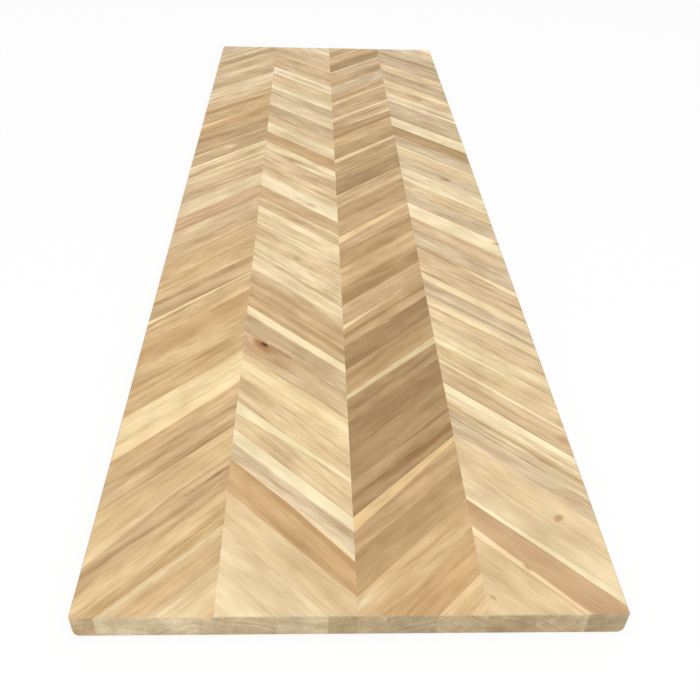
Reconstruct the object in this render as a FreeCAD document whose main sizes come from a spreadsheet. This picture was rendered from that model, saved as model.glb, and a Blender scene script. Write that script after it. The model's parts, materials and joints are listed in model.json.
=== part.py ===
"""Chevron butcher-block panel: four strips of slanted solid-wood staves, glued edge to edge.

The panel lies flat with its underside on Z = 0 and its middle on the Z axis. X runs across the
strips and Y along them, from the near end to the far end. Lengths are millimetres.

Each strip is a row of equal staves cut to parallelograms. Neighbouring strips slant opposite ways,
which makes the chevron. The glued panel is trimmed to its outline, so the end staves become
triangles and trapezoids. The odd and the even staves of a strip are two sub-parts, so the staves
of one sub-part don't touch each other.
"""
import FreeCAD
import Part
import Sketcher
import math
import os
from collections import namedtuple
from enum import IntEnum

PARTS_FOLDER = "parts"
SHEET = "Sizes"

# Driving dimensions: alias, value, what it measures
SIZES = (
    ("panel_length", 2000.0, "near end to far end"),
    ("panel_thickness", 36.0, "underside to top, the full depth of every stave"),
    ("left_outer_width", 161.5, "width of the first strip from the left"),
    ("left_inner_width", 162.0, "width of the second strip"),
    ("right_inner_width", 148.7, "width of the third strip, ripped a little narrower"),
    ("right_outer_width", 162.8, "width of the fourth strip"),
    ("stave_width", 41.34, "one stave across its grain, joint to joint"),
    ("chevron_angle", 45.0, "degrees between a stave and the panel's width"),
    ("left_outer_start", 31.4, "near end to the first strip's first joint, along its left side"),
    ("left_inner_start", 11.9, "the same on the second strip"),
    ("right_inner_start", 25.7, "the same on the third strip"),
    ("right_outer_start", 56.9, "the same on the fourth strip"),
    ("corner_radius", 3.5, "upright corners of the panel"),
    ("top_ease", 1.5, "sanded radius of the top edges"),
    ("end_ease", 3.0, "eased radius of the lower edges at both ends"),
    ("side_round", 14.0, "round-over of the lower long edges"),
)

# One strip: its name, and whether its staves rise or fall from left to right
Strip = namedtuple("Strip", "name rises")
STRIPS = (
    Strip("left_outer", True),
    Strip("left_inner", False),
    Strip("right_inner", True),
    Strip("right_outer", False),
)

# Staves are counted from the near end, and every second one belongs to the same sub-part
TURNS = ("odd", "even")

# Sketches are drawn with these values, and then tied to the sheet
VALUES = {alias: value for alias, value, meaning in SIZES}

# Sides of a four-sided sketch in the order in which they are drawn
LEFT, LOWER, RIGHT, UPPER = range(4)
SIDES = (LEFT, LOWER, RIGHT, UPPER)
SKETCH_ORIGIN = (-1, 1)


class End(IntEnum):
    """The ends of a sketched line, as a sketch counts them."""

    START = 1
    FINISH = 2


def size(alias):
    """One driving dimension as it is written in an expression."""
    return f"{SHEET}.{alias}"


PANEL_WIDTH = " + ".join(size(f"{strip.name}_width") for strip in STRIPS)
NEAR_END = f"(-{size('panel_length')} / 2)"
SLANT = size("chevron_angle")
PITCH = f"({size('stave_width')} / cos({SLANT}))"


def make_sheet(doc):
    """The spreadsheet of driving dimensions, one named cell each."""
    sheet = doc.addObject("Spreadsheet::Sheet", SHEET)
    for row, (alias, value, meaning) in enumerate(SIZES, start=1):
        sheet.set(f"A{row}", meaning)
        sheet.set(f"B{row}", str(value))
        sheet.setAlias(f"B{row}", alias)
    doc.recompute()


def origin_feature(body, role):
    """One of a body's own origin planes or axes."""
    return next(item for item in body.Origin.OriginFeatures if item.Role == role)


def four_sided_sketch(body, name, corners):
    """A sketch on the body's XY plane: a closed outline with upright left and right sides.

    The corners run anticlockwise from the upper left one.
    """
    sketch = body.newObject("Sketcher::SketchObject", name)
    sketch.AttachmentSupport = (origin_feature(body, "XY_Plane"), [""])
    sketch.MapMode = "FlatFace"
    points = [FreeCAD.Vector(x, y, 0) for x, y in corners]
    following = {side: (side + 1) % len(SIDES) for side in SIDES}
    for side in SIDES:
        sketch.addGeometry(Part.LineSegment(points[side], points[following[side]]), False)
    for side in SIDES:
        meeting = (side, End.FINISH, following[side], End.START)
        sketch.addConstraint(Sketcher.Constraint("Coincident", *meeting))
    sketch.addConstraint(Sketcher.Constraint("Vertical", LEFT))
    sketch.addConstraint(Sketcher.Constraint("Vertical", RIGHT))
    return sketch


def dimension(sketch, name, expression, kind, *where):
    """One named dimension of a sketch, tied to an expression."""
    index = sketch.addConstraint(Sketcher.Constraint(kind, *where))
    sketch.renameConstraint(index, name)
    sketch.setExpression(f"Constraints.{name}", expression)


def raise_to_thickness(body, sketch, name):
    """The sketch padded by the panel's thickness."""
    pad = body.newObject("PartDesign::Pad", name)
    pad.Profile = sketch
    pad.setExpression("Length", size("panel_thickness"))
    body.Document.recompute()
    return pad


def is_upright(edge, whole):
    """An edge's box that runs from the underside to the top of the whole."""
    return edge.ZLength > whole.ZLength / 2


def is_on_top(edge, whole):
    """An edge's box that lies in the upper half of the whole."""
    return edge.ZMin > whole.Center.z


def is_underside_end(edge, whole):
    """An edge's box that lies in the lower half of the whole, across the panel."""
    return edge.ZMax < whole.Center.z and edge.XLength > edge.YLength


def is_underside_side(edge, whole):
    """An edge's box that lies in the lower half of the whole, along the panel."""
    return edge.ZMax < whole.Center.z and edge.YLength > edge.XLength


def round_edges(body, base, name, radius, belongs):
    """A fillet on those edges of a feature that belongs() picks by their boxes."""
    whole = base.Shape.BoundBox
    edges = enumerate(base.Shape.Edges, start=1)
    picked = [f"Edge{number}" for number, edge in edges if belongs(edge.BoundBox, whole)]
    fillet = body.newObject("PartDesign::Fillet", name)
    fillet.Base = (base, picked)
    fillet.setExpression("Radius", size(radius))
    body.Tip = fillet
    body.Document.recompute()
    return fillet


def make_blank(doc, name):
    """The panel's rectangle at its full thickness, with sharp edges: a body and its pad."""
    body = doc.addObject("PartDesign::Body", name)
    right = sum(VALUES[f"{strip.name}_width"] for strip in STRIPS) / 2
    far = VALUES["panel_length"] / 2
    corners = ((-right, far), (-right, -far), (right, -far), (right, far))
    sketch = four_sided_sketch(body, f"{name}_sketch", corners)
    sketch.addConstraint(Sketcher.Constraint("Horizontal", LOWER))
    sketch.addConstraint(Sketcher.Constraint("Horizontal", UPPER))
    opposite = (LEFT, End.START, LOWER, End.FINISH)
    sketch.addConstraint(Sketcher.Constraint("Symmetric", *opposite, *SKETCH_ORIGIN))
    across = (LOWER, End.START, LOWER, End.FINISH, 2 * right)
    along = (RIGHT, End.START, RIGHT, End.FINISH, 2 * far)
    dimension(sketch, "panel_width", PANEL_WIDTH, "DistanceX", *across)
    dimension(sketch, "panel_length", size("panel_length"), "DistanceY", *along)
    return body, raise_to_thickness(body, sketch, f"{name}_pad")


def make_outline(doc):
    """The trimmed and sanded panel, which every stave is cut to.

    The eased lower ends and the rounded lower sides are bodies of their own, and the panel is what
    all the bodies share. So the long edges keep one section up to the ends, as if they were routed
    before the panel was cut to length, and their radius may be larger than the upright corners.
    """
    sanded, pad = make_blank(doc, "sanded_blank")
    upright = round_edges(sanded, pad, "upright_corners", "corner_radius", is_upright)
    round_edges(sanded, upright, "top_edges", "top_ease", is_on_top)
    routed_ends, pad = make_blank(doc, "routed_ends_blank")
    round_edges(routed_ends, pad, "underside_ends", "end_ease", is_underside_end)
    routed_sides, pad = make_blank(doc, "routed_sides_blank")
    round_edges(routed_sides, pad, "underside_sides", "side_round", is_underside_side)
    outline = doc.addObject("Part::MultiCommon", "panel_outline")
    outline.Shapes = [sanded, routed_ends, routed_sides]
    return outline


class StripLayout:
    """Expressions for where the staves of one strip lie before the panel is trimmed."""

    def __init__(self, place):
        """Lays out the strip at this place, counted from the left."""
        strip = STRIPS[place]
        self.name = strip.name
        self.rises = strip.rises
        self.width = size(f"{strip.name}_width")
        self.start = size(f"{strip.name}_start")
        self.climb = f"({self.width} * tan({SLANT}))"
        passed = [size(f"{earlier.name}_width") for earlier in STRIPS[:place]]
        self.left_side = " + ".join([f"-({PANEL_WIDTH}) / 2"] + passed)

    def first_joint(self):
        """The first stave's lower joint on the strip's left side, from the near end."""
        lead = self.climb if self.rises else "0"
        return f"({self.start} - ceil(({self.start} + {lead}) / {PITCH}) * {PITCH})"

    def stave_count(self):
        """How many staves cover the strip up to the far end."""
        lag = "0" if self.rises else self.climb
        return f"ceil(({size('panel_length')} + {lag} - {self.first_joint()}) / {PITCH})"


def stave_sketch(body, layout, name):
    """One stave's parallelogram, from the lower joint's left end at the body's origin."""
    upwards = 1 if layout.rises else -1
    angle = upwards * math.radians(VALUES["chevron_angle"])
    width = VALUES[f"{layout.name}_width"]
    pitch = VALUES["stave_width"] / math.cos(angle)
    climb = width * math.tan(angle)
    corners = ((0, pitch), (0, 0), (width, climb), (width, climb + pitch))
    sketch = four_sided_sketch(body, name, corners)
    sketch.addConstraint(Sketcher.Constraint("Parallel", LOWER, UPPER))
    sketch.addConstraint(Sketcher.Constraint("Coincident", LOWER, End.START, *SKETCH_ORIGIN))
    across = (LOWER, End.START, LOWER, End.FINISH, width)
    along = (LEFT, End.FINISH, LEFT, End.START, pitch)
    slant = SLANT if layout.rises else f"-{SLANT}"
    dimension(sketch, "strip_width", layout.width, "DistanceX", *across)
    dimension(sketch, "joint_pitch", PITCH, "DistanceY", *along)
    dimension(sketch, "slant", slant, "Angle", LOWER, angle)
    return sketch


def make_row(doc, layout, turn):
    """Every second stave of a strip, not yet trimmed, as one body."""
    name = f"{layout.name}_{turn}"
    skipped = TURNS.index(turn)
    body = doc.addObject("PartDesign::Body", f"{name}_row")
    body.AllowCompound = True
    sketch = stave_sketch(body, layout, f"{name}_sketch")
    stave = raise_to_thickness(body, sketch, f"{name}_stave")
    row = body.newObject("PartDesign::LinearPattern", f"{name}_pattern")
    row.Originals = [stave]
    row.Direction = (origin_feature(body, "Y_Axis"), [""])
    row.Mode = "Spacing"
    row.setExpression("Offset", f"{len(TURNS)} * {PITCH}")
    row.setExpression("Occurrences", f"ceil(({layout.stave_count()} - {skipped}) / {len(TURNS)})")
    body.Tip = row
    first = f"{NEAR_END} + {layout.first_joint()} + {skipped} * {PITCH}"
    body.setExpression("Placement.Base.x", layout.left_side)
    body.setExpression("Placement.Base.y", first)
    return body


def trim(doc, row, outline, label):
    """The staves of a row cut to the panel's outline: one finished sub-part."""
    staves = doc.addObject("Part::Common", label)
    staves.Base = row
    staves.Tool = outline
    staves.Label = label
    return staves


def check(doc, parts):
    """Stops if any object failed or a sub-part's shape is missing or faulty."""
    for item in doc.Objects:
        if {"Invalid", "Error"} & set(item.State):
            raise RuntimeError(f"{item.Label} failed: {item.State}")
    for part in parts:
        if part.Shape.isNull() or not part.Shape.isValid() or not part.Shape.Solids:
            raise RuntimeError(f"{part.Label} has no sound shape")


def main():
    """Builds the panel and writes one file for each sub-part."""
    doc = FreeCAD.newDocument("ChevronPanel")
    make_sheet(doc)
    outline = make_outline(doc)
    parts = []
    for place in range(len(STRIPS)):
        layout = StripLayout(place)
        for turn in TURNS:
            row = make_row(doc, layout, turn)
            parts.append(trim(doc, row, outline, f"{layout.name}_{turn}_staves"))
    doc.recompute()
    check(doc, parts)
    os.makedirs(PARTS_FOLDER, exist_ok=True)
    for part in parts:
        part.Shape.exportStep(os.path.join(PARTS_FOLDER, f"{part.Label}.step"))
        print(part.Label, "holds", len(part.Shape.Solids), "staves")


main()
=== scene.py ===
"""Dresses the chevron butcher-block panel: staves of sanded wood, a pale studio and the camera.

The panel lies on its underside. X runs across the strips, Y from the near end to the far end and
Z up. Lengths are metres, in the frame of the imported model.
"""
import json
import logging
import math
import random
from contextlib import contextmanager
from dataclasses import dataclass, field
from enum import Enum
from typing import Callable, Iterator, Union

import bmesh
import bpy
from mathutils import Matrix, Vector

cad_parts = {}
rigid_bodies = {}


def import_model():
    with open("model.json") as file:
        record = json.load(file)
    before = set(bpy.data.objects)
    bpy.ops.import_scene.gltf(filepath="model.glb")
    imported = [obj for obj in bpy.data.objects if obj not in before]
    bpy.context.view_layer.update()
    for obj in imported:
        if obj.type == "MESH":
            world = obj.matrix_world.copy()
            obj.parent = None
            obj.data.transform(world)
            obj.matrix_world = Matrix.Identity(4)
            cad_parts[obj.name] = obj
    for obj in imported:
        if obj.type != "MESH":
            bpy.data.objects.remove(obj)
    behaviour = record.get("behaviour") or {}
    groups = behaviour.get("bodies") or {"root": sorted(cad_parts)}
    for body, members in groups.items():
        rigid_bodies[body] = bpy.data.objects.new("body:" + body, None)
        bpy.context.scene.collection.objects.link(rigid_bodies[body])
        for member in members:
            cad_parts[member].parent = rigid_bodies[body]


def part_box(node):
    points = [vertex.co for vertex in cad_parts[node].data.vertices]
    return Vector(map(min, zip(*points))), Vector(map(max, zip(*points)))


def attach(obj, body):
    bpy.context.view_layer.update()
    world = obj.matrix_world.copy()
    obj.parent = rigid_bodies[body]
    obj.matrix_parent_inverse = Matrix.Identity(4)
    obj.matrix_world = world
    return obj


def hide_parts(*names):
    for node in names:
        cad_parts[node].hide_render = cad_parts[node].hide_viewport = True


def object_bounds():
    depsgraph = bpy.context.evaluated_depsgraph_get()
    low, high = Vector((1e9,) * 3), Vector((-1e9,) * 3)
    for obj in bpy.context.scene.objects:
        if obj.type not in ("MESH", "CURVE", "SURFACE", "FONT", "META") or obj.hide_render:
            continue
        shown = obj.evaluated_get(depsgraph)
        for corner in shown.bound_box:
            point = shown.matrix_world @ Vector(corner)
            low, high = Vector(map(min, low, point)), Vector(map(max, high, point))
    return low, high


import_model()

LOG = logging.getLogger("chevron_panel")
CAD_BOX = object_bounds()
FIGURE_SEED = 17

# Points closer than this count as one.
TOUCH = 1e-6
# A strip whose edge is this close to the panel's side keeps that side unsawn.
HAIR = 1e-5
# Cosine above which a face counts as square to a direction.
SQUARE_ON = 0.999
# The level that every noise swings about.
NOISE_MIDDLE = 0.5

Triple = tuple[float, float, float]
Colour = Triple
Range = tuple[float, float]
EdgeTest = Callable[[bmesh.types.BMEdge], bool]
Socket = bpy.types.NodeSocket
Input = Union[Socket, float, tuple]


def linear(colour: Colour) -> Colour:
    """Turns a colour as a screen shows it, 0 to 255, into the shader's linear values."""
    white, foot, power = 255, 0.055, 2.4
    return tuple(((part / white + foot) / (1 + foot)) ** power for part in colour)


def opaque(colour: Colour) -> tuple[float, float, float, float]:
    """Makes a colour into what a colour socket takes."""
    return (*colour, 1.0)


class Tone(Enum):
    """Wood tones of single staves, as a screen shows them."""

    IVORY = (248, 227, 186)
    PALE = (241, 220, 178)
    BUTTER = (243, 217, 167)
    CREAM = (234, 209, 166)
    STRAW = (227, 199, 154)
    GOLD = (224, 192, 142)
    SAND = (218, 188, 146)
    ASH = (217, 192, 155)
    HONEY = (215, 181, 133)
    ROSE = (211, 176, 134)
    RUSSET = (209, 171, 122)
    TAN = (206, 173, 129)
    OLIVE = (205, 178, 138)
    BRONZE = (199, 165, 120)
    BROWN = (190, 157, 111)
    UMBER = (175, 143, 101)


class EndTone(Enum):
    """Tones of the end grain, as a screen shows them."""

    CHALK = (217, 197, 159)
    OAT = (206, 184, 146)
    TEAK = (203, 177, 135)
    MOSS = (191, 171, 137)
    CLAY = (188, 165, 126)
    SLATE = (185, 165, 136)


class Sap(Enum):
    """Bands of pale sapwood: edge across the stave, its drift along, and side times whiteness."""

    NONE = (1.0, 0.0, 1.0)
    UPPER_LINE = (0.0176, 0.0, 0.7)
    UPPER_THIN = (0.0155, 0.0, 0.75)
    UPPER_SOFT = (0.0112, -0.025, 0.6)
    UPPER_BROAD = (0.0040, 0.03, 0.45)
    UPPER_TAPER = (0.0165, 0.12, 0.4)
    UPPER_WIDE = (0.0040, 0.01, 0.95)
    UPPER_LEFT = (0.0148, 0.112, 0.95)
    UPPER_RIGHT = (0.0150, -0.075, 0.6)
    UPPER_THIN_LEFT = (0.0177, 0.053, 0.5)
    UPPER_THIN_RIGHT = (0.0197, -0.044, 0.9)
    UPPER_BAND = (0.0085, 0.02, 0.45)
    UPPER_GLOW = (0.0083, 0.055, 0.15)
    LOWER_LINE = (-0.0176, 0.0, -0.8)
    LOWER_THIN = (-0.0155, 0.0, -0.75)
    LOWER_BAND = (-0.0110, 0.0, -0.9)
    LOWER_WIDE = (-0.0050, -0.01, -0.6)
    LOWER_RIGHT = (-0.0150, 0.075, -0.6)
    LOWER_THIN_RIGHT = (-0.0190, 0.03, -0.15)
    LOWER_WEDGE = (-0.0154, -0.0435, -0.55)
    LOWER_GLOW = (-0.0145, 0.02, -0.35)


@dataclass(frozen=True)
class Mark:
    """A knot, streak or scuff: its place as shares of the stave's length and width, and its form.

    A darkness below 0 makes the mark pale.
    """

    along: float
    across: float
    radius: float
    stretch: float
    darkness: float
    parting: float


def knot(along: float, across: float, radius: float, darkness: float = 0.6) -> Mark:
    """A knot, which the grain flows round."""
    return Mark(along, across, radius, stretch=2.0, darkness=darkness, parting=0.8)


def round_knot(along: float, across: float, radius: float, darkness: float = 0.6) -> Mark:
    """A knot that is cut square across."""
    return Mark(along, across, radius, stretch=0.75, darkness=darkness, parting=0.6)


def line(along: float, across: float, half_width: float, darkness: float = 0.5) -> Mark:
    """A line along most of the stave."""
    return Mark(along, across, half_width, stretch=60.0, darkness=darkness, parting=0.0)


def streak(along: float, across: float, half_width: float, darkness: float = 0.5) -> Mark:
    """A dark mineral streak along the grain."""
    return Mark(along, across, half_width, stretch=22.0, darkness=darkness, parting=0.0)


def scuff(along: float, across: float, half_width: float, paleness: float = 0.6) -> Mark:
    """A short pale scuff."""
    return Mark(along, across, half_width, stretch=6.0, darkness=-paleness, parting=0.0)


NO_MARK = knot(along=40.0, across=0.5, radius=0.001)


@dataclass(frozen=True)
class StripLook:
    """What the staves of one strip look like, counted from the near end."""

    tones: str
    calm: set[int]
    sapwood: dict[int, Sap]
    marks: dict[int, Mark]
    flaws: dict[int, Mark]
    ends: dict[int, EndTone]

    def count(self) -> int:
        """How many staves the strip has."""
        return len(self.tones.split())

    def tone(self, number: int) -> Tone:
        """The tone of one stave."""
        return Tone[self.tones.split()[number - 1].upper()]


LEFT_OUTER_LOOK = StripLook(
    tones="""honey straw honey gold tan gold tan honey butter honey honey russet honey tan gold
        honey tan sand rose cream sand straw straw tan tan bronze russet honey honey straw
        cream sand cream sand sand straw ash cream""",
    calm={6, 9, 12},
    sapwood={
        5: Sap.UPPER_TAPER,
        8: Sap.UPPER_BROAD,
        13: Sap.UPPER_THIN,
        22: Sap.UPPER_LINE,
        23: Sap.UPPER_THIN,
        24: Sap.UPPER_THIN_LEFT,
        27: Sap.UPPER_THIN_LEFT,
        32: Sap.LOWER_LINE,
        36: Sap.UPPER_RIGHT,
    },
    marks={
        3: line(0.75, 0.88, 0.0060, -0.45),
        4: streak(0.75, 0.3, 0.0018, 0.35),
        5: streak(0.92, 0.68, 0.0030, 0.7),
        7: streak(0.44, 0.62, 0.0018, 0.45),
        10: streak(0.75, 0.85, 0.0020, 0.45),
        11: knot(0.37, 0.55, 0.0045, 0.18),
        12: streak(0.75, 0.85, 0.0018, 0.4),
        18: streak(0.75, 0.6, 0.0022, 0.45),
        24: Mark(0.52, 0.72, 0.0060, stretch=2.0, darkness=-0.8, parting=0.0),
        25: streak(0.7, 0.6, 0.0028, 0.6),
        28: knot(0.7, 0.5, 0.0045, 0.3),
        29: scuff(0.8, 0.5, 0.0035, 0.4),
    },
    flaws={},
    ends={1: EndTone.OAT, 2: EndTone.CHALK, 3: EndTone.CHALK, 4: EndTone.TEAK},
)
LEFT_INNER_LOOK = StripLook(
    tones="""pale cream cream straw russet ash straw straw butter sand olive tan tan cream cream
        straw cream sand tan ivory straw sand cream honey pale straw olive cream ash cream
        straw ivory sand sand sand sand pale cream""",
    calm={1, 2, 3, 4, 9, 20},
    sapwood={
        5: Sap.UPPER_THIN_RIGHT,
        6: Sap.UPPER_WIDE,
        7: Sap.UPPER_LEFT,
        8: Sap.LOWER_THIN_RIGHT,
        11: Sap.UPPER_THIN,
        12: Sap.LOWER_BAND,
        18: Sap.LOWER_WIDE,
        19: Sap.LOWER_LINE,
        28: Sap.LOWER_LINE,
        30: Sap.LOWER_WIDE,
    },
    marks={
        10: Mark(0.13, 0.92, 0.0080, stretch=1.8, darkness=1.0, parting=0.7),
        11: Mark(0.45, 0.04, 0.0022, stretch=32.0, darkness=0.7, parting=0.0),
        14: streak(0.18, 0.2, 0.0022, 0.35),
        15: scuff(0.5, 0.4, 0.0040, 0.5),
        16: knot(0.55, 0.25, 0.0042, 0.6),
        18: streak(0.3, 0.95, 0.0022, 0.5),
        20: knot(0.7, 0.3, 0.0035, 0.4),
        23: knot(0.45, 0.25, 0.0060, 0.55),
        26: streak(0.3, 0.8, 0.0028, 0.6),
        27: streak(0.2, 0.2, 0.0030, 0.4),
        35: knot(0.15, 0.8, 0.0035, 0.4),
        36: knot(0.5, 0.5, 0.0040, 0.45),
    },
    flaws={
        10: Mark(0.16, 0.82, 0.0190, stretch=2.2, darkness=0.6, parting=0.5),
        11: scuff(0.93, 0.06, 0.0012, 0.8),
    },
    ends={1: EndTone.OAT, 2: EndTone.OAT, 3: EndTone.CHALK, 4: EndTone.CLAY},
)
RIGHT_INNER_LOOK = StripLook(
    tones="""gold russet honey brown bronze umber umber umber umber brown umber bronze tan
        bronze honey brown tan bronze brown tan umber brown tan brown honey brown tan tan
        bronze tan ash bronze sand umber honey bronze sand""",
    calm={2, 7, 8, 15, 16},
    sapwood={
        5: Sap.UPPER_GLOW,
        9: Sap.UPPER_SOFT,
        12: Sap.UPPER_THIN_LEFT,
        17: Sap.UPPER_GLOW,
        23: Sap.UPPER_BAND,
        26: Sap.UPPER_RIGHT,
        27: Sap.UPPER_THIN,
        28: Sap.LOWER_LINE,
        29: Sap.UPPER_BAND,
        33: Sap.UPPER_THIN,
        36: Sap.LOWER_THIN,
    },
    marks={
        3: scuff(0.12, 0.75, 0.0038, 0.7),
        6: streak(0.7, 0.3, 0.0025, 0.35),
        8: streak(0.5, 0.3, 0.0030, 0.3),
        11: scuff(0.57, 0.97, 0.0016, 0.45),
        13: scuff(0.58, 0.06, 0.0020, 0.4),
        14: streak(0.45, 0.85, 0.0035, 0.35),
        21: streak(0.4, 0.6, 0.0030, 0.15),
    },
    flaws={},
    ends={1: EndTone.OAT, 2: EndTone.MOSS, 3: EndTone.OAT},
)
RIGHT_OUTER_LOOK = StripLook(
    tones="""straw straw rose cream straw ash cream sand straw cream sand ash sand sand ash
        sand ivory ash straw pale ash straw ash brown pale olive ash pale straw straw
        ash straw ash olive ash cream ivory""",
    calm={1, 2, 3, 4, 5, 17, 25},
    sapwood={
        3: Sap.LOWER_WEDGE,
        4: Sap.LOWER_GLOW,
        7: Sap.UPPER_BAND,
        8: Sap.UPPER_THIN,
        9: Sap.UPPER_THIN_LEFT,
        11: Sap.UPPER_BAND,
        13: Sap.LOWER_WIDE,
        14: Sap.UPPER_RIGHT,
        19: Sap.UPPER_LINE,
        22: Sap.UPPER_THIN,
        30: Sap.LOWER_RIGHT,
        32: Sap.LOWER_LINE,
    },
    marks={
        1: Mark(0.04, 0.58, 0.0018, stretch=1.8, darkness=0.55, parting=0.5),
        3: knot(0.42, 0.13, 0.0025, 0.55),
        5: round_knot(0.72, 0.38, 0.0040, 0.6),
        6: knot(0.86, 0.25, 0.0085, 0.4),
        7: Mark(0.78, 0.12, 0.0020, stretch=5.0, darkness=0.45, parting=0.0),
        8: knot(0.96, 0.5, 0.0050, 0.4),
        10: streak(0.85, 0.2, 0.0018, 0.4),
        14: streak(0.28, 0.92, 0.0025, 0.6),
        17: knot(0.92, 0.86, 0.0045, 0.8),
        19: knot(0.25, 0.3, 0.0060, 0.38),
        21: knot(0.58, 0.5, 0.0055, 0.75),
        29: knot(0.53, 0.5, 0.0045, 0.6),
    },
    flaws={
        6: line(0.35, 0.66, 0.0012, -0.6),
    },
    ends={1: EndTone.CLAY, 2: EndTone.OAT, 3: EndTone.MOSS},
)


def deselect_all() -> None:
    """Leaves no object selected."""
    for item in bpy.context.view_layer.objects:
        item.select_set(False)


def pick_object(piece: bpy.types.Object) -> None:
    """Selects one object alone and makes it the active one.

    Args:
        piece: The object.
    """
    deselect_all()
    piece.select_set(True)
    bpy.context.view_layer.objects.active = piece


def copy_object(piece: bpy.types.Object) -> bpy.types.Object:
    """Copies an object that stays as it is.

    Args:
        piece: The object.

    Returns:
        The copy, with a mesh of its own.
    """
    pick_object(piece)
    bpy.ops.object.duplicate(linked=False)
    return bpy.context.active_object


@contextmanager
def editing(piece: bpy.types.Object) -> Iterator[None]:
    """Holds one object in edit mode, picking edges.

    Args:
        piece: The object.

    Yields:
        Nothing, while the object is in edit mode.
    """
    pick_object(piece)
    bpy.ops.object.mode_set(mode="EDIT")
    bpy.ops.mesh.select_mode(type="EDGE")
    yield
    bpy.ops.object.mode_set(mode="OBJECT")


def bevel_edges(piece: bpy.types.Object, belongs: EdgeTest, reach: float, steps: int) -> None:
    """Bevels the edges that pass a test, on a piece in edit mode.

    Args:
        piece: The object in edit mode.
        belongs: Says whether an edge is wanted.
        reach: How far from the edge the bevel starts.
        steps: How many facets it has.
    """
    bpy.ops.mesh.select_all(action="DESELECT")
    mesh = bmesh.from_edit_mesh(piece.data)
    for edge in mesh.edges:
        if belongs(edge):
            edge.select_set(True)
    bmesh.update_edit_mesh(piece.data)
    bpy.ops.mesh.bevel(offset=reach, segments=steps, affect="EDGES")


def cut_away(point: Vector, outwards: Vector) -> None:
    """Saws the mesh in edit mode along a plane and closes the cut.

    Args:
        point: A point on the plane.
        outwards: The plane's normal, towards the waste.
    """
    bpy.ops.mesh.select_all(action="SELECT")
    bpy.ops.mesh.bisect(
        plane_co=point, plane_no=outwards, use_fill=True, clear_outer=True, threshold=TOUCH
    )


def write_attribute(mesh: bpy.types.Mesh, name: str, domain: str, values: list[float]) -> None:
    """Writes one number for each point or each face of a mesh."""
    layer = mesh.attributes.new(name, "FLOAT", domain)
    layer.data.foreach_set("value", values)


def write_vectors(mesh: bpy.types.Mesh, name: str, values: list[float]) -> None:
    """Writes three numbers in a row for each point of a mesh."""
    layer = mesh.attributes.new(name, "FLOAT_VECTOR", "POINT")
    layer.data.foreach_set("vector", values)


@dataclass
class PanelBlank:
    """The trimmed and sanded outline that every stave is sawn from."""

    low: Vector
    high: Vector
    corner_radius: float = 0.0035
    top_ease: float = 0.0015
    end_ease: float = 0.003
    side_round: float = 0.014
    corner_steps: int = 5
    top_steps: int = 3
    end_steps: int = 4
    side_steps: int = 10

    def build(self) -> bpy.types.Object:
        """Models the outline from a cube whose edges are rounded.

        Returns:
            The blank, with its place in its mesh.
        """
        deselect_all()
        bpy.ops.mesh.primitive_cube_add(size=1, location=(self.low + self.high) / 2)
        blank = bpy.context.active_object
        blank.name = "panel_blank"
        blank.scale = self.high - self.low
        bpy.ops.object.transform_apply(location=True, rotation=True, scale=True)
        with editing(blank):
            bevel_edges(blank, self.is_upright, self.corner_radius, self.corner_steps)
            bevel_edges(blank, self.is_on_top, self.top_ease, self.top_steps)
            for corner, side in ((self.high, 1), (self.low, -1)):
                self.rout(corner, Vector((side, 0, 0)), self.side_round, self.side_steps)
                self.rout(corner, Vector((0, side, 0)), self.end_ease, self.end_steps)
        return blank

    def rout(self, corner: Vector, outwards: Vector, radius: float, steps: int) -> None:
        """Rounds one lower edge of the blank in edit mode, facet by facet.

        Args:
            corner: A point on the side that the edge bounds.
            outwards: The direction that the side faces.
            radius: The radius.
            steps: How many facets the round has.
        """
        middle = Vector((corner.x, corner.y, self.low.z + radius)) - outwards * radius
        turn = math.pi / 2 / steps
        for step in range(steps):
            dip = turn * (step + 0.5)
            normal = outwards * math.cos(dip) - Vector((0, 0, math.sin(dip)))
            cut_away(middle + normal * radius * math.cos(turn / 2), normal)

    def is_upright(self, edge: bmesh.types.BMEdge) -> bool:
        """Whether an edge runs from the underside to the top."""
        ends = [vertex.co.z for vertex in edge.verts]
        return max(ends) - min(ends) > (self.high.z - self.low.z) / 2

    def is_on_top(self, edge: bmesh.types.BMEdge) -> bool:
        """Whether an edge bounds the top face."""
        return all(vertex.co.z > self.high.z - TOUCH for vertex in edge.verts)


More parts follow.
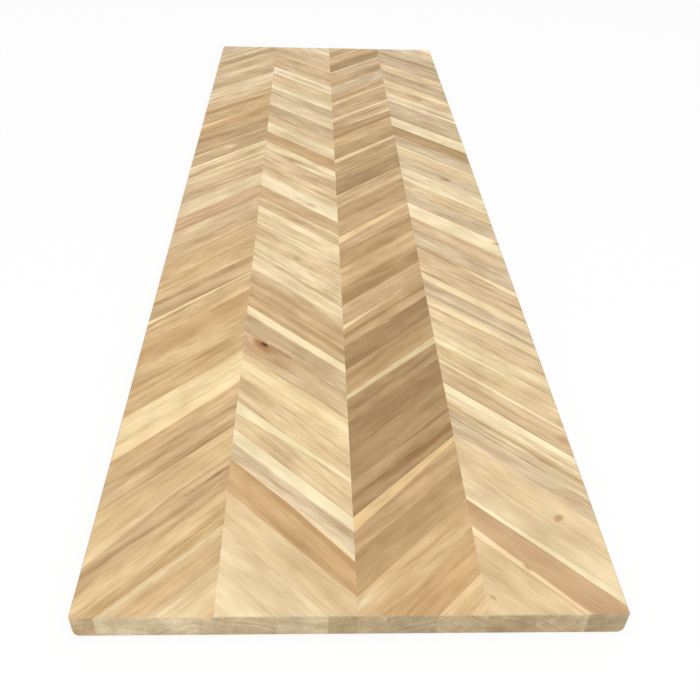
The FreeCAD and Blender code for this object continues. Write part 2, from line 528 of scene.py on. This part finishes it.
@dataclass
class Stave:
    """One stave of a strip: where it lies before the panel is trimmed, and how it looks."""

    number: int
    middle: Vector
    grain: Vector
    across: Vector
    width: float
    length: float
    tone: Tone
    sap: Sap
    marking: Mark
    flaw: Mark
    end_tone: EndTone
    seed: float
    pith: Vector
    figure: Vector
    joint_ease: float = 0.00015

    def saw(self, strip: bpy.types.Object) -> bpy.types.Object:
        """Saws the stave out of a copy of its strip.

        Args:
            strip: The whole strip, which stays as it is.

        Returns:
            The stave.
        """
        stave = copy_object(strip)
        half = self.across * self.width / 2
        with editing(stave):
            cut_away(self.middle + half, self.across)
            cut_away(self.middle - half, -self.across)
            bevel_edges(stave, self.is_joint, self.joint_ease, steps=1)
        return stave

    def is_joint(self, edge: bmesh.types.BMEdge) -> bool:
        """Whether an edge bounds a glued side, so that its arris is broken."""
        return any(abs(face.normal.dot(self.across)) > SQUARE_ON for face in edge.link_faces)

    def mark(self, stave: bpy.types.Object) -> None:
        """Writes what the wood finish reads about this stave onto its mesh.

        Args:
            stave: The sawn stave.
        """
        mesh = stave.data
        for name, value in self.constants().items():
            write_vectors(mesh, name, list(value) * len(mesh.vertices))
        write_attribute(mesh, "stave_seed", "POINT", [self.seed] * len(mesh.vertices))
        places = []
        for vertex in mesh.vertices:
            offset = vertex.co - self.middle
            places.extend((offset.dot(self.grain), offset.dot(self.across), offset.z))
        write_vectors(mesh, "grain_place", places)
        cuts = [abs(face.normal.dot(self.grain)) for face in mesh.polygons]
        write_attribute(mesh, "end_cut", "FACE", cuts)

    def constants(self) -> dict[str, Vector]:
        """Gathers what is the same all over the stave.

        Returns:
            The values by the names of their attributes.
        """
        values = {
            "sapwood": Vector(self.sap.value),
            "pith": self.pith,
            "figure": self.figure,
            "stave_tone": Vector(linear(self.tone.value)),
            "end_tone": Vector(linear(self.end_tone.value)),
        }
        for name, form in (("mark", self.marking), ("flaw", self.flaw)):
            along = (form.along - 0.5) * self.length
            across = (form.across - 0.5) * self.width
            values[f"{name}_place"] = Vector((along, across, form.radius))
            values[f"{name}_form"] = Vector((1 / form.stretch, form.darkness, form.parting))
        return values


@dataclass
class Strip:
    """One long strip of slanted staves between two joints that run along the panel."""

    name: str
    rises: bool
    start: float
    look: StripLook
    stave_width: float = 0.04134
    chevron_angle: float = math.radians(45)
    smooth_angle: float = math.radians(35)
    turns: tuple[str, str] = ("odd", "even")
    seed_span: float = 50.0
    pith_aside: Range = (0.0, 0.12)
    pith_depth: Range = (-0.12, -0.02)
    figure_strength: Range = (0.5, 1.15)
    calm_share: float = 0.4
    grain_lean: Range = (-0.04, 0.04)
    grain_sway: Range = (0.003, 0.012)
    low: Vector = field(init=False)
    high: Vector = field(init=False)

    def __post_init__(self) -> None:
        """Reads the strip's box from the frame."""
        boxes = [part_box(self.node(turn)) for turn in self.turns]
        self.low = Vector(map(min, *[box[0] for box in boxes]))
        self.high = Vector(map(max, *[box[1] for box in boxes]))

    def node(self, turn: str) -> str:
        """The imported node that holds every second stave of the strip."""
        return f"{self.name}_{turn}_staves"

    def build(self, blank: bpy.types.Object, finish: "SandedWood", draw: random.Random) -> None:
        """Models the strip's two pieces, dresses them and ties them to the frame.

        Args:
            blank: The panel's outline.
            finish: The wood finish.
            draw: The source of each stave's own figure.
        """
        strip = self.rip(blank)
        sawn = {turn: [] for turn in self.turns}
        for stave in self.staves(draw):
            solid = stave.saw(strip)
            stave.mark(solid)
            sawn[self.turns[(stave.number - 1) % 2]].append(solid)
        bpy.data.objects.remove(strip)
        for turn, solids in sawn.items():
            piece = self.join(solids, f"{self.name}_{turn}_boards")
            finish.dress(piece)
            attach(piece, "root")
            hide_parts(self.node(turn))
            LOG.info("%s: %d staves", piece.name, len(solids))

    def rip(self, blank: bpy.types.Object) -> bpy.types.Object:
        """Saws the strip out of a copy of the panel's outline.

        Args:
            blank: The panel's outline, which stays as it is.

        Returns:
            The strip in one piece.
        """
        strip = copy_object(blank)
        right = Vector((1, 0, 0))
        panel_low, panel_high = CAD_BOX
        with editing(strip):
            if self.high.x < panel_high.x - HAIR:
                cut_away(self.high, right)
            if self.low.x > panel_low.x + HAIR:
                cut_away(self.low, -right)
        return strip

    def staves(self, draw: random.Random) -> list[Stave]:
        """Lays the strip out.

        A last sliver that the panel's rounded corner trims off has no look and isn't laid.

        Args:
            draw: The source of each stave's own figure.

        Returns:
            The staves that reach the strip, from the near end.
        """
        slant = self.chevron_angle if self.rises else -self.chevron_angle
        grain = Vector((math.cos(slant), math.sin(slant), 0))
        across = Vector((-math.sin(slant), math.cos(slant), 0))
        pitch = self.stave_width / math.cos(slant)
        width = self.high.x - self.low.x
        middle_x = (self.low.x + self.high.x) / 2
        climb = width * math.tan(slant)
        panel_length = self.high.y - self.low.y
        first = self.start - math.ceil((self.start + max(climb, 0)) / pitch) * pitch
        reached = math.ceil((panel_length - min(climb, 0) - first) / pitch)
        laid = []
        for number in range(1, min(reached, self.look.count()) + 1):
            lower_left = self.low.y + first + (number - 1) * pitch
            laid.append(
                Stave(
                    number=number,
                    middle=Vector((middle_x, lower_left + (climb + pitch) / 2, self.low.z)),
                    grain=grain,
                    across=across,
                    width=self.stave_width,
                    length=width / math.cos(slant),
                    tone=self.look.tone(number),
                    sap=self.look.sapwood.get(number, Sap.NONE),
                    marking=self.look.marks.get(number, NO_MARK),
                    flaw=self.look.flaws.get(number, NO_MARK),
                    end_tone=self.look.ends.get(number, draw.choice(list(EndTone))),
                    seed=draw.uniform(0, self.seed_span),
                    pith=self.draw_pith(draw),
                    figure=self.draw_figure(draw, number in self.look.calm),
                )
            )
        return laid

    def draw_pith(self, draw: random.Random) -> Vector:
        """Draws where the tree's heart lay, across and in depth, from the stave's underside."""
        side = draw.choice((-1, 1))
        return Vector((side * draw.uniform(*self.pith_aside), draw.uniform(*self.pith_depth), 0))

    def draw_figure(self, draw: random.Random, calm: bool) -> Vector:
        """Draws how strong a stave's figure is, how the grain leans and how far it sways."""
        strength = draw.uniform(*self.figure_strength) * (self.calm_share if calm else 1)
        return Vector((strength, draw.uniform(*self.grain_lean), draw.uniform(*self.grain_sway)))

    def join(self, solids: list[bpy.types.Object], name: str) -> bpy.types.Object:
        """Joins staves that don't touch into one piece.

        Args:
            solids: The staves.
            name: The piece's name.

        Returns:
            The piece.
        """
        deselect_all()
        for solid in solids:
            solid.select_set(True)
        bpy.context.view_layer.objects.active = solids[0]
        bpy.ops.object.join()
        piece = bpy.context.active_object
        piece.name = name
        bpy.ops.object.shade_smooth_by_angle(angle=self.smooth_angle)
        return piece


@dataclass(frozen=True)
class Weave:
    """One of the wood's noises: its pace along, across and under the grain, and its fineness."""

    pace: Triple
    detail: float = 2.0
    roughness: float = 0.6


@dataclass(frozen=True)
class Rings:
    """Growth rings: how far apart they are, and how fine the noise is that colours them."""

    pitch: float
    detail: float = 2.0
    roughness: float = 0.6


class NodeBench:
    """Adds shader nodes to one material or world and wires them."""

    def __init__(self, owner: Union[bpy.types.Material, bpy.types.World]) -> None:
        """Clears the owner's nodes.

        Args:
            owner: The material or world.
        """
        owner.use_nodes = True
        self.tree = owner.node_tree
        self.tree.nodes.clear()

    def add(self, kind: str, **settings: object) -> bpy.types.Node:
        """Adds a node and sets its options.

        Args:
            kind: The node's type.
            settings: Its options by name.

        Returns:
            The node.
        """
        node = self.tree.nodes.new(kind)
        for name, value in settings.items():
            setattr(node, name, value)
        return node

    def feed(self, socket: Socket, value: Input) -> None:
        """Wires a socket to another one, or sets its own value.

        Args:
            socket: The socket that takes the value.
            value: The other socket, or a number, vector or colour.
        """
        if isinstance(value, bpy.types.NodeSocket):
            self.tree.links.new(value, socket)
        else:
            socket.default_value = value

    def attribute(self, name: str, output: str) -> Socket:
        """Reads one of the mesh's attributes."""
        node = self.add("ShaderNodeAttribute", attribute_name=name)
        return node.outputs[output]

    def math(self, operation: str, *values: Input, clamp: bool = False) -> Socket:
        """Works out a number from others.

        Args:
            operation: What is done with the numbers.
            values: The numbers in order.
            clamp: Whether the result is held between 0 and 1.

        Returns:
            The result.
        """
        node = self.add("ShaderNodeMath", operation=operation, use_clamp=clamp)
        for socket, value in zip(node.inputs, values):
            self.feed(socket, value)
        return node.outputs[0]

    def hypotenuse(self, x: Input, y: Input) -> Socket:
        """Works out the length that two numbers span at right angles."""
        square = self.math("ADD", self.math("MULTIPLY", x, x), self.math("MULTIPLY", y, y))
        return self.math("SQRT", square)

    def vector(self, operation: str, *values: Input) -> Socket:
        """Works out a vector from others.

        Args:
            operation: What is done with the vectors.
            values: The vectors in order.

        Returns:
            The result.
        """
        node = self.add("ShaderNodeVectorMath", operation=operation)
        sockets = [socket for socket in node.inputs if socket.type == "VECTOR"]
        for socket, value in zip(sockets, values):
            self.feed(socket, value)
        return node.outputs[0]

    def split(self, value: Socket) -> tuple[Socket, Socket, Socket]:
        """Takes a vector apart.

        Args:
            value: The vector.

        Returns:
            Its three numbers.
        """
        node = self.add("ShaderNodeSeparateXYZ")
        self.feed(node.inputs[0], value)
        return node.outputs[0], node.outputs[1], node.outputs[2]

    def build_vector(self, x: Input, y: Input, z: Input) -> Socket:
        """Makes a vector of three numbers.

        Args:
            x: The first number.
            y: The second number.
            z: The third number.

        Returns:
            The vector.
        """
        node = self.add("ShaderNodeCombineXYZ")
        for socket, value in zip(node.inputs, (x, y, z)):
            self.feed(socket, value)
        return node.outputs[0]

    def noise(self, where: Socket, grade: Union[Weave, Rings]) -> Socket:
        """Adds a soft noise, along a line for rings and else in space.

        Args:
            where: The number on the line or the place in space.
            grade: How fine the noise is.

        Returns:
            The noise, which swings about its middle.
        """
        on_line = isinstance(grade, Rings)
        node = self.add("ShaderNodeTexNoise", noise_dimensions="1D" if on_line else "3D")
        self.feed(node.inputs["W" if on_line else "Vector"], where)
        node.inputs["Scale"].default_value = 1.0
        node.inputs["Detail"].default_value = grade.detail
        node.inputs["Roughness"].default_value = grade.roughness
        return node.outputs[0]

    def step(self, value: Socket, span: tuple[Input, Input], peak: float = 1.0) -> Socket:
        """Rises smoothly from 0 to a peak.

        Args:
            value: The value that the rise follows.
            span: Where the rise starts and where it ends.
            peak: The level at its end.

        Returns:
            The level.
        """
        node = self.add("ShaderNodeMapRange", interpolation_type="SMOOTHSTEP")
        start, end = span
        self.feed(node.inputs["Value"], value)
        self.feed(node.inputs["From Min"], start)
        self.feed(node.inputs["From Max"], end)
        node.inputs["To Max"].default_value = peak
        return node.outputs[0]

    def blend(self, share: Input, first: Input, second: Input) -> Socket:
        """Mixes two colours.

        Args:
            share: How much of the second there is, from 0 to 1.
            first: The first colour.
            second: The second colour.

        Returns:
            The mixed colour.
        """
        node = self.add("ShaderNodeMix", data_type="RGBA")
        # The node has sockets for every kind of data, and these are the ones for colours.
        factor, start, end = node.inputs[0], node.inputs[6], node.inputs[7]
        self.feed(factor, share)
        self.feed(start, first)
        self.feed(end, second)
        return node.outputs[2]


@dataclass(frozen=True)
class SandedWood:
    """Sanded hardwood whose heartwood and sapwood vary from stave to stave."""

    name: str = "sanded_wood"
    sap_colour: Colour = (252, 236, 194)
    core_colour: Colour = (92, 58, 32)
    rim_colour: Colour = (176, 112, 54)
    sap_glow: Colour = (1.42, 1.45, 1.38)
    pale_shade: Colour = (1.17, 1.21, 1.28)
    streak_shade: Colour = (0.74, 0.67, 0.58)
    line_shade: Colour = (0.70, 0.61, 0.49)
    shade_gain: Colour = (0.9, 1.05, 1.25)

    # How far one step of the seed moves a stave in its noises and its rings.
    noise_start: Triple = (3.1, 1.0, 7.3)
    ring_start: float = 11.7
    sway: Weave = Weave((6, 9, 9), detail=1.0, roughness=0.5)
    ripple: Weave = Weave((32, 60, 60), detail=1.0, roughness=0.5)
    fibre: Weave = Weave((34, 520, 520))
    cloud: Weave = Weave((11, 26, 26))
    patches: Weave = Weave((9, 50, 50), detail=1.0, roughness=0.5)
    flow: Weave = Weave((11, 130, 130), detail=3.0)
    tear: Weave = Weave((50, 210, 210))
    mottle: Weave = Weave((60, 60, 60), detail=3.0)
    streak_rings: Rings = Rings(0.010, roughness=0.5)
    line_rings: Rings = Rings(0.0022)
    arc_rings: Rings = Rings(0.0045)

    # Levels of the noise between which each part of the figure fades in.
    patch_span: Range = (0.3, 0.65)
    streak_span: Range = (0.51, 0.35)
    pale_span: Range = (0.48, 0.62)
    line_span: Range = (0.47, 0.22)
    line_share: float = 0.68

    ripple_depth: float = 0.0016
    fibre_contrast: float = 0.40
    cloud_contrast: float = 0.75
    sap_sway: float = 0.3
    sap_span: Range = (-0.0014, 0.0014)
    sap_share: float = 0.9
    white_fibre_span: Range = (0.8, 0.45)
    end_cut_gain: float = 1.35
    mottle_contrast: float = 0.9
    arc_contrast: float = 0.5

    # Distances in a mark's radii. A halo's pair is a streak's value and what a round knot adds.
    tear_depth: float = 2.4
    core_span: Range = (1.2, 0.0)
    parting_span: Range = (4.0, 0.5)
    halo_reach: float = 2.0
    halo_full: Range = (0.4, 0.8)
    halo_depth: Range = (0.4, 0.3)

    roughness_low: float = 0.46
    roughness_gain: float = 0.16
    bump_strength: float = 0.22
    bump_depth: float = 0.0002
    specular: float = 0.18

    def dress(self, piece: bpy.types.Object) -> None:
        """Puts the finish on a piece."""
        piece.data.materials.clear()
        piece.data.materials.append(self.material())

    def material(self) -> bpy.types.Material:
        """Makes the finish once and gives it again after that.

        Returns:
            The material.
        """
        made = bpy.data.materials.get(self.name)
        if made:
            return made
        made = bpy.data.materials.new(self.name)
        WoodBench(made, self).paint()
        return made


class WoodBench(NodeBench):
    """Wires the sanded wood from what each stave's mesh says about the stave."""

    def __init__(self, material: bpy.types.Material, wood: SandedWood) -> None:
        """Reads where a point lies in its stave, and what is the stave's own.

        Args:
            material: The material, which is wired anew.
            wood: The finish.
        """
        super().__init__(material)
        self.wood = wood
        self.place = self.attribute("grain_place", "Vector")
        self.seed = self.attribute("stave_seed", "Fac")
        self.tone = self.attribute("stave_tone", "Vector")
        seeds = self.build_vector(self.seed, self.seed, self.seed)
        self.shift = self.vector("MULTIPLY", seeds, wood.noise_start)

    def paint(self) -> None:
        """Wires the whole finish."""
        wood = self.wood
        grain = self.grain_across()
        mark, stain, grain = self.mark_share("mark", grain)
        flaw, flaw_stain, grain = self.mark_share("flaw", grain)
        along, _, depth = self.split(self.place)
        swayed = self.build_vector(along, grain, depth)
        heart = self.heart_distance(depth, grain)
        fibre = self.woven(wood.fibre, swayed)
        cloud = self.woven(wood.cloud, swayed)

        sap, whiteness = self.sap_share(grain)
        colour = self.heartwood(swayed, heart)
        colour = self.blend(sap, colour, self.sapwood(fibre, whiteness))
        colour = self.end_grain(heart, colour)
        colour = self.shaded(colour, fibre, wood.fibre_contrast)
        colour = self.shaded(colour, cloud, wood.cloud_contrast)
        colour = self.blend(flaw, colour, flaw_stain)
        colour = self.blend(mark, colour, stain)

        bump = self.add("ShaderNodeBump")
        bump.inputs["Strength"].default_value = wood.bump_strength
        bump.inputs["Distance"].default_value = wood.bump_depth
        self.feed(bump.inputs["Height"], fibre)
        roughness = self.math("MULTIPLY_ADD", fibre, wood.roughness_gain, wood.roughness_low)
        shader = self.add("ShaderNodeBsdfPrincipled")
        self.feed(shader.inputs["Base Color"], colour)
        self.feed(shader.inputs["Roughness"], roughness)
        self.feed(shader.inputs["Normal"], bump.outputs[0])
        shader.inputs["Specular IOR Level"].default_value = wood.specular
        output = self.add("ShaderNodeOutputMaterial")
        self.feed(output.inputs["Surface"], shader.outputs[0])

    def woven(self, weave: Weave, place: Socket) -> Socket:
        """Spreads one of the wood's noises over a place, from a start of the stave's own."""
        paced = self.vector("MULTIPLY", place, weave.pace)
        return self.noise(self.vector("ADD", paced, self.shift), weave)

    def swing(self, weave: Weave) -> Socket:
        """Spreads one of the wood's noises over the stave, so that it swings about 0."""
        return self.math("SUBTRACT", self.woven(weave, self.place), NOISE_MIDDLE)

    def ringed(self, rings: Rings, heart: Socket) -> Socket:
        """Spreads growth rings round the tree's heart, from a start of the stave's own.

        Args:
            rings: The rings.
            heart: The distance from the tree's heart.

        Returns:
            The noise that colours the rings.
        """
        count = self.math("DIVIDE", heart, rings.pitch)
        start = self.math("MULTIPLY", self.seed, self.wood.ring_start)
        return self.noise(self.math("ADD", count, start), rings)

    def shaded(self, colour: Socket, noise: Socket, contrast: float) -> Socket:
        """Makes a colour lighter and darker with a noise, and warmer where it is darker.

        Args:
            colour: The colour.
            noise: The noise.
            contrast: How much lighter the noise's top is than its foot.

        Returns:
            The shaded colour.
        """
        levels = []
        for gain in self.wood.shade_gain:
            span = contrast * gain
            levels.append(self.math("MULTIPLY_ADD", noise, span, 1 - span * NOISE_MIDDLE))
        return self.vector("MULTIPLY", colour, self.build_vector(*levels))

    def grain_across(self) -> Socket:
        """Finds the place across the grain, where the grain leans, sways and ripples.

        Returns:
            The place across the grain.
        """
        along, across, _ = self.split(self.place)
        _, lean, reach = self.split(self.attribute("figure", "Vector"))
        sway = self.swing(self.wood.sway)
        ripple = self.swing(self.wood.ripple)
        across = self.math("ADD", across, self.math("MULTIPLY", along, lean))
        across = self.math("ADD", across, self.math("MULTIPLY", sway, reach))
        return self.math("MULTIPLY_ADD", ripple, self.wood.ripple_depth, across)

    def mark_share(self, name: str, grain: Socket) -> tuple[Socket, Socket, Socket]:
        """Finds a knot, streak or scuff, and the grain that flows round a knot.

        Args:
            name: The start of the names of the mark's attributes.
            grain: The place across the grain.

        Returns:
            How far the point is mark, from 0 to 1, the mark's colour, and the point's place
            across the parted grain.
        """
        wood = self.wood
        along, across, _ = self.split(self.place)
        mark_along, mark_across, radius = self.split(self.attribute(f"{name}_place", "Vector"))
        squeeze, darkness, parting = self.split(self.attribute(f"{name}_form", "Vector"))
        reach = self.math("MULTIPLY", self.math("SUBTRACT", along, mark_along), squeeze)
        aside = self.math("SUBTRACT", across, mark_across)
        distance = self.math("DIVIDE", self.hypotenuse(reach, aside), radius)
        tearing = self.math("DIVIDE", wood.tear_depth, self.math("ADD", squeeze, 1.0))
        torn = self.math("MULTIPLY_ADD", self.swing(wood.tear), tearing, distance)
        core = self.step(torn, wood.core_span)
        halo = self.halo(torn, squeeze)
        depth = self.math("ABSOLUTE", darkness)
        share = self.math("MULTIPLY", self.math("MAXIMUM", core, halo), depth)
        stain = self.stain(self.math("MULTIPLY", core, depth), darkness)
        nearness = self.math("MULTIPLY", self.step(distance, wood.parting_span), parting)
        pull = self.math("MULTIPLY", aside, nearness)
        return share, stain, self.math("SUBTRACT", grain, pull)

    def halo(self, torn: Socket, squeeze: Socket) -> Socket:
        """Fades a mark out round its core.

        Args:
            torn: The ragged distance from the mark's middle.
            squeeze: How round the mark is.

        Returns:
            The halo's share.
        """
        full, full_gain = self.wood.halo_full
        depth, depth_gain = self.wood.halo_depth
        full_at = self.math("MULTIPLY_ADD", squeeze, full_gain, full)
        most = self.math("MULTIPLY_ADD", squeeze, depth_gain, depth)
        return self.math("MULTIPLY", self.step(torn, (self.wood.halo_reach, full_at)), most)

    def stain(self, nearness: Socket, darkness: Socket) -> Socket:
        """Colours a mark, dark from its rim to its core or pale all over.

        Args:
            nearness: How near the point is to the mark's core.
            darkness: The mark's darkness, below 0 for a pale one.

        Returns:
            The colour.
        """
        rim = opaque(linear(self.wood.rim_colour))
        core = opaque(linear(self.wood.core_colour))
        palest = opaque(linear(self.wood.sap_colour))
        pale = self.math("LESS_THAN", darkness, 0.0)
        return self.blend(pale, self.blend(nearness, rim, core), palest)

    def heart_distance(self, depth: Socket, grain: Socket) -> Socket:
        """Finds the distance from the tree's heart, which growth rings follow.

        Args:
            depth: The height above the stave's underside.
            grain: The place across the grain.

        Returns:
            The distance.
        """
        pith_across, pith_depth, _ = self.split(self.attribute("pith", "Vector"))
        aside = self.math("SUBTRACT", grain, pith_across)
        down = self.math("SUBTRACT", depth, pith_depth)
        return self.hypotenuse(aside, down)

    def heartwood(self, swayed: Socket, heart: Socket) -> Socket:
        """Colours the heartwood: growth rings, broken up into streaks that fade in and out.

        Args:
            swayed: The point along, across and under the swaying grain.
            heart: The distance from the tree's heart.

        Returns:
            The colour.
        """
        wood = self.wood
        strength, _, _ = self.split(self.attribute("figure", "Vector"))
        patches = self.step(self.woven(wood.patches, swayed), wood.patch_span)
        patch = self.math("MULTIPLY", patches, strength)
        broad = self.ringed(wood.streak_rings, heart)
        narrow = self.ringed(wood.line_rings, heart)
        flow = self.woven(wood.flow, swayed)
        streaks = self.math("MULTIPLY", self.math("ADD", broad, flow), 0.5)
        dark = self.math("MULTIPLY", self.step(streaks, wood.streak_span), strength)
        pale = self.math("MULTIPLY", self.step(streaks, wood.pale_span), strength)
        thin = self.math("MULTIPLY", self.step(narrow, wood.line_span, wood.line_share), patch)
        colour = self.tone
        for share, shade in (
            (dark, wood.streak_shade),
            (pale, wood.pale_shade),
            (thin, wood.line_shade),
        ):
            colour = self.blend(share, colour, self.vector("MULTIPLY", self.tone, shade))
        return colour

    def sap_share(self, grain: Socket) -> tuple[Socket, Socket]:
        """Finds how far a point is sapwood, whose edge follows the swaying grain in part.

        Args:
            grain: The place across the grain.

        Returns:
            The share, from 0 to 1, and how white the sapwood is.
        """
        along, across, _ = self.split(self.place)
        edge, lean, side = self.split(self.attribute("sapwood", "Vector"))
        border = self.math("MULTIPLY_ADD", along, lean, edge)
        sway = self.math("MULTIPLY", self.math("SUBTRACT", grain, across), self.wood.sap_sway)
        reach = self.math("SUBTRACT", self.math("ADD", across, sway), border)
        beyond = self.math("MULTIPLY", reach, self.math("SIGN", side))
        share = self.step(beyond, self.wood.sap_span, self.wood.sap_share)
        return share, self.math("ABSOLUTE", side)

    def sapwood(self, fibre: Socket, whiteness: Socket) -> Socket:
        """Colours the sapwood, between a glow of the stave's tone and the palest wood.

        Args:
            fibre: The noise of the fibres.
            whiteness: How white the sapwood is.

        Returns:
            The colour.
        """
        palest = linear(self.wood.sap_colour)
        glow = self.vector("MULTIPLY", self.tone, self.wood.sap_glow)
        glow = self.vector("MINIMUM", glow, palest)
        white = self.math("MULTIPLY", whiteness, self.step(fibre, self.wood.white_fibre_span))
        return self.blend(white, glow, opaque(palest))

    def end_grain(self, heart: Socket, colour: Socket) -> Socket:
        """Colours the faces that cut through the grain, mottled and with arcs of growth rings.

        Args:
            heart: The distance from the tree's heart.
            colour: The long grain's colour.

        Returns:
            The colour.
        """
        wood = self.wood
        cut = self.attribute("end_cut", "Fac")
        cut = self.math("MULTIPLY", cut, wood.end_cut_gain, clamp=True)
        mottle = self.woven(wood.mottle, self.place)
        arcs = self.ringed(wood.arc_rings, heart)
        end = self.attribute("end_tone", "Vector")
        end = self.shaded(end, mottle, wood.mottle_contrast)
        end = self.shaded(end, arcs, wood.arc_contrast)
        return self.blend(cut, colour, end)


@dataclass
class Studio:
    """A plain pale floor, soft light and a white background."""

    floor_size: float = 16.0
    floor_drop: float = 0.0004
    floor_albedo: float = 0.8
    shadow_share: float = 0.14
    sky_strength: float = 0.63
    lamp_size: float = 5.0
    lamp_place: Triple = (0.0, -1.8, 3.9)
    lamp_power: float = 95.0

    def build(self) -> None:
        """Makes the floor, the world and the lamp."""
        self.lay_floor()
        self.light_world()
        self.hang_lamp()

    def lay_floor(self) -> None:
        """Lays the floor, white to the camera but for the shadow on it."""
        deselect_all()
        bpy.ops.mesh.primitive_plane_add(size=self.floor_size, location=(0, 0, -self.floor_drop))
        floor = bpy.context.active_object
        floor.name = "studio_floor"
        paint = bpy.data.materials.new("pale_floor")
        bench = NodeBench(paint)
        seen = self.seen_directly(bench)
        albedo = opaque((self.floor_albedo,) * 3)
        shadow = opaque((self.shadow_share,) * 3)
        matt = bench.add("ShaderNodeBsdfDiffuse")
        bench.feed(matt.inputs["Color"], bench.blend(seen, albedo, shadow))
        glow = bench.add("ShaderNodeEmission")
        glow.inputs["Strength"].default_value = 1.0
        level = bench.math("MULTIPLY", seen, 1 - self.shadow_share)
        bench.feed(glow.inputs["Color"], bench.build_vector(level, level, level))
        both = bench.add("ShaderNodeAddShader")
        bench.feed(both.inputs[0], matt.outputs[0])
        bench.feed(both.inputs[1], glow.outputs[0])
        output = bench.add("ShaderNodeOutputMaterial")
        bench.feed(output.inputs["Surface"], both.outputs[0])
        floor.data.materials.append(paint)

    def seen_directly(self, bench: NodeBench) -> Socket:
        """Finds the rays that show the background, from the camera or by a mirror or glass.

        Args:
            bench: The nodes of the floor or the world.

        Returns:
            1 for such a ray, 0 for any other.
        """
        path = bench.add("ShaderNodeLightPath")
        seen = bench.math("MAXIMUM", path.outputs["Is Camera Ray"], path.outputs["Is Glossy Ray"])
        return bench.math("MAXIMUM", seen, path.outputs["Is Transmission Ray"])

    def light_world(self) -> None:
        """Sets a white sky that lights the panel softly."""
        world = bpy.data.worlds.new("studio_sky")
        bpy.context.scene.world = world
        bench = NodeBench(world)
        seen = self.seen_directly(bench)
        strength = bench.math("MULTIPLY_ADD", seen, 1 - self.sky_strength, self.sky_strength)
        sky = bench.add("ShaderNodeBackground")
        sky.inputs["Color"].default_value = (1, 1, 1, 1)
        bench.feed(sky.inputs["Strength"], strength)
        output = bench.add("ShaderNodeOutputWorld")
        bench.feed(output.inputs["Surface"], sky.outputs[0])

    def hang_lamp(self) -> None:
        """Hangs one wide soft lamp before the near end, turned to the panel."""
        towards_panel = Vector((0, 0, 0)) - Vector(self.lamp_place)
        turn = towards_panel.to_track_quat("-Z", "Y").to_euler()
        deselect_all()
        bpy.ops.object.light_add(type="AREA", location=self.lamp_place, rotation=turn)
        lamp = bpy.context.active_object
        lamp.name = "soft_lamp"
        lamp.data.size = self.lamp_size
        lamp.data.energy = self.lamp_power


@dataclass
class PhotoCamera:
    """A camera at the photograph's view."""

    frame_pixels: float = 700.0
    focal_pixels: float = 801.5
    centre_x: float = 338.0
    pitch: float = math.radians(38.003)
    yaw: float = math.radians(2.637)
    roll: float = math.radians(1.934)
    place: Triple = (-0.0509, -1.5244, 0.8267)

    def build(self) -> None:
        """Adds the camera and makes it the scene's own."""
        turn = Matrix.Rotation(-self.yaw, 3, "Z")
        tilt = Matrix.Rotation(math.pi / 2 - self.pitch, 3, "X")
        roll = Matrix.Rotation(self.roll, 3, "Z")
        deselect_all()
        bpy.ops.object.camera_add(location=self.place, rotation=(turn @ tilt @ roll).to_euler())
        camera = bpy.context.active_object
        camera.name = "photo_camera"
        lens = camera.data
        lens.sensor_fit = "HORIZONTAL"
        lens.lens = self.focal_pixels / self.frame_pixels * lens.sensor_width
        lens.shift_x = (self.frame_pixels / 2 - self.centre_x) / self.frame_pixels
        bpy.context.scene.camera = camera


def main() -> None:
    """Builds the panel, the studio and the camera."""
    logging.basicConfig(level=logging.INFO, format="%(message)s")
    bpy.context.scene.view_settings.view_transform = "Standard"
    draw = random.Random(FIGURE_SEED)
    finish = SandedWood()
    strips = (
        Strip("left_outer", rises=True, start=0.0314, look=LEFT_OUTER_LOOK),
        Strip("left_inner", rises=False, start=0.0119, look=LEFT_INNER_LOOK),
        Strip("right_inner", rises=True, start=0.0257, look=RIGHT_INNER_LOOK),
        Strip("right_outer", rises=False, start=0.0569, look=RIGHT_OUTER_LOOK),
    )
    low, high = CAD_BOX
    blank = PanelBlank(low, high).build()
    for strip in strips:
        strip.build(blank, finish, draw)
    bpy.data.objects.remove(blank)
    Studio().build()
    PhotoCamera().build()


if __name__ == "__main__":
    main()
